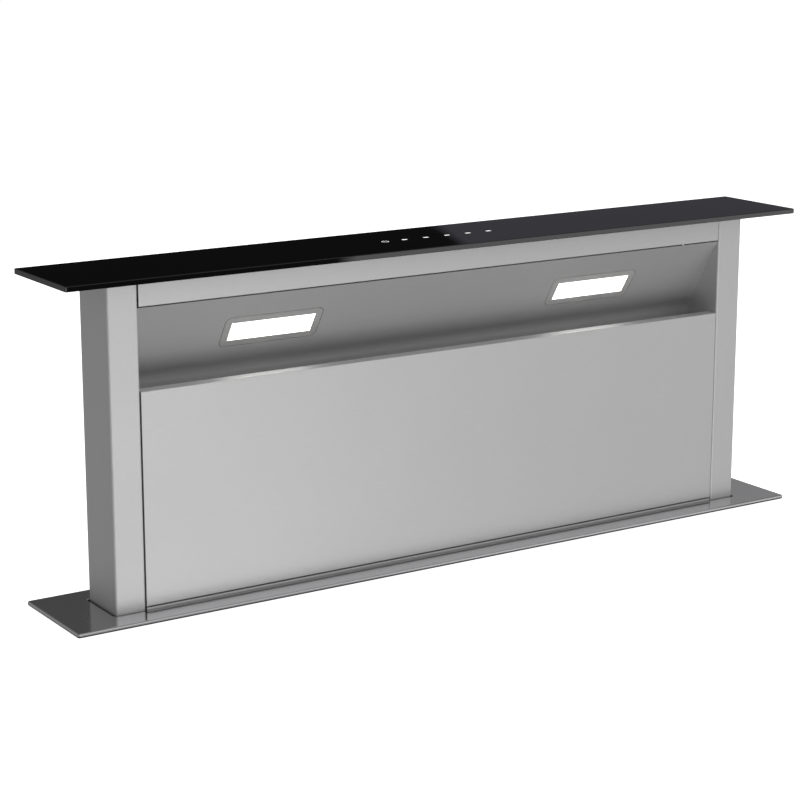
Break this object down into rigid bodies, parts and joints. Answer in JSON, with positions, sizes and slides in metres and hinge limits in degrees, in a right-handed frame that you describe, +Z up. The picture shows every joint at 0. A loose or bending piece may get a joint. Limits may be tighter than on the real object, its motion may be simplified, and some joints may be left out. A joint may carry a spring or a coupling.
{
  "type": "downdraft vent",
  "caption": "Worktop downdraft extractor: a slim glass-topped tower with lamps rises from a polished flange, above a housing with lift drive and blower.",
  "frame": {"origin": "middle of the worktop cut-out, on the worktop's upper surface, which is the underside of the flange", "axes": "+X to the right along the tower, +Y to the back, +Z up; the front with the suction recess faces -Y"},
  "size_m": [0.9, 0.2802, 0.9324],
  "materials": {
    "brushed_steel": "fine brushed stainless steel",
    "polished_steel": "mirror polished stainless steel",
    "black_glass": "tempered glass, black printed underside, ground edges",
    "galvanised_steel": "zinc coated sheet",
    "zinc_plated": "bright zinc plated",
    "black_rubber": "moulded rubber",
    "white_acetal": "machined acetal",
    "black_plastic": "moulded plastic",
    "grey_plastic": "moulded plastic",
    "opal_plastic": "opal acrylic",
    "bezel_metal": "satin lacquered steel",
    "aluminium_mesh": "expanded mesh",
    "aluminium_frame": "natural anodised",
    "circuit_board": "solder resist",
    "motor_paint": "black enamel",
    "cable_grey": "flat cable sheath"
  },
  "bodies": {
    "chassis": {"worktop_flange": "polished_steel", "flange_gasket": "black_rubber", "wiper_seal": "black_rubber", "housing_front": "galvanised_steel", "housing_rear": "galvanised_steel", "housing_left": "galvanised_steel", "housing_right": "galvanised_steel", "housing_floor": "galvanised_steel", "housing_screws": "zinc_plated", "floor_feet": "galvanised_steel", "worktop_clamps": "galvanised_steel", "clamp_screws": "zinc_plated", "guide_rails": "galvanised_steel", "lift_racks": "white_acetal", "travel_buffers": "black_rubber", "glide_pads": "white_acetal", "limit_sensors": "black_plastic", "flex_cable": "cable_grey", "blower_box": "galvanised_steel", "blower_cover": "galvanised_steel", "volute_shell": "galvanised_steel", "volute_cover": "galvanised_steel", "fan_motor": "motor_paint", "outlet_collar": "black_plastic", "flap_pin": "zinc_plated", "control_box": "grey_plastic", "control_cover": "grey_plastic", "control_board": "circuit_board", "cable_gland": "black_plastic"},
    "tower": {"left_column": "brushed_steel", "right_column": "brushed_steel", "header_rail": "brushed_steel", "light_panel": "brushed_steel", "lower_front_panel": "brushed_steel", "back_panel": "brushed_steel", "top_carrier": "galvanised_steel", "glass_adhesive": "black_rubber", "glass_top": "black_glass", "touch_board": "circuit_board", "lamp_bezels": "bezel_metal", "lamp_diffusers": "opal_plastic", "lamp_boards": "circuit_board", "filter_frames": "aluminium_frame", "filter_meshes": "aluminium_mesh", "filter_ledge": "galvanised_steel", "hanger_studs": "zinc_plated", "base_frame": "galvanised_steel", "guide_shoes": "white_acetal", "shaft_bushes": "black_plastic", "lift_motor": "motor_paint"},
    "front_panel": {"front_panel": "brushed_steel"},
    "cross_shaft": {"cross_shaft": "zinc_plated", "rack_pinions": "white_acetal", "drive_gear": "white_acetal"},
    "motor_pinion": {"motor_pinion": "zinc_plated"},
    "fan_rotor": {"fan_shaft": "zinc_plated", "impeller": "galvanised_steel", "impeller_blades": "galvanised_steel"},
    "flap_front": {"flap_front": "black_plastic"},
    "flap_rear": {"flap_rear": "black_plastic"}
  },
  "joints": [
    {"name": "lift", "type": "slide", "parent": "chassis", "child": "tower", "axis": [0, 0, 1], "range_m": [-0.3306, 0], "deforming": ["flex_cable"]},
    {"name": "cross_shaft_turn", "type": "hinge", "parent": "tower", "child": "cross_shaft", "pos_m": [0, 0.012, -0.05], "axis": [1, 0, 0], "range_deg": [0, 1353.2]},
    {"name": "motor_pinion_turn", "type": "hinge", "parent": "tower", "child": "motor_pinion", "pos_m": [0, -0.009, -0.05], "axis": [1, 0, 0], "range_deg": [-3383, 0]},
    {"name": "panel_unhook", "type": "slide", "parent": "tower", "child": "front_panel", "axis": [0, 0, 1], "range_m": [0, 0.015]},
    {"name": "fan_spin", "type": "hinge", "parent": "chassis", "child": "fan_rotor", "pos_m": [-0.03, -0.134, -0.442], "axis": [0, 1, 0], "continuous": true},
    {"name": "flap_front_swing", "type": "hinge", "parent": "chassis", "child": "flap_front", "pos_m": [0.1795, -0.134, -0.506], "axis": [0, 0, 1], "range_deg": [0, 75], "stiffness_Nm_per_rad": 0.006},
    {"name": "flap_rear_swing", "type": "hinge", "parent": "chassis", "child": "flap_rear", "pos_m": [0.1795, -0.134, -0.506], "axis": [0, 0, -1], "range_deg": [0, 75], "stiffness_Nm_per_rad": 0.006}
  ],
  "couplings": [
    {"joint": "cross_shaft_turn", "follows": "lift", "rad_per_m": -71.429},
    {"joint": "motor_pinion_turn", "follows": "lift", "rad_per_m": 178.57}
  ]
}
